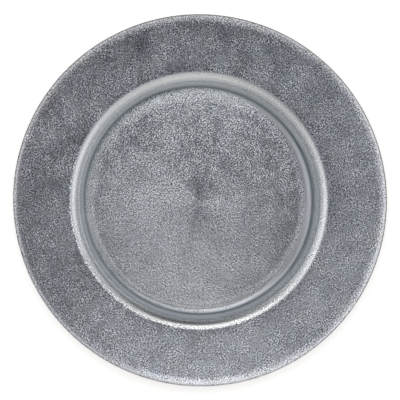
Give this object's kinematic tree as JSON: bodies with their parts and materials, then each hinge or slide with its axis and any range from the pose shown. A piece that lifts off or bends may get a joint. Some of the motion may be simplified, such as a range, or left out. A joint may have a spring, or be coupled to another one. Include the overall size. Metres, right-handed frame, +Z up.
{
  "type": "charger plate",
  "caption": "Round glass charger plate with a flat well and a wide sloping rim, silver-leafed on its underside and sealed with lacquer.",
  "frame": {"origin": "centre of the flat underside that the plate rests on", "axes": "+Z up along the plate's axis of rotation; +Y to the top of the picture and +X to its right"},
  "size_m": [0.3294, 0.3294, 0.0224],
  "materials": {
    "clear_glass": "clear pressed soda-lime glass, fire polished, with a faint blue-green tint",
    "silver_leaf": "crinkled silver-coloured metal leaf, satin, in lapped sheets with a fine grain",
    "backing_lacquer": "sprayed dark warm grey sealing lacquer, satin with a fine orange peel"
  },
  "bodies": {
    "root": {"glass_plate": "clear_glass", "rim_leaf_01": "silver_leaf", "rim_leaf_02": "silver_leaf", "rim_leaf_03": "silver_leaf", "rim_leaf_04": "silver_leaf", "rim_leaf_05": "silver_leaf", "rim_leaf_06": "silver_leaf", "rim_leaf_07": "silver_leaf", "rim_leaf_08": "silver_leaf", "rim_leaf_09": "silver_leaf", "rim_leaf_10": "silver_leaf", "well_leaf_1": "silver_leaf", "well_leaf_2": "silver_leaf", "well_leaf_3": "silver_leaf", "well_leaf_4": "silver_leaf", "backing_lacquer": "backing_lacquer"}
  },
  "joints": []
}
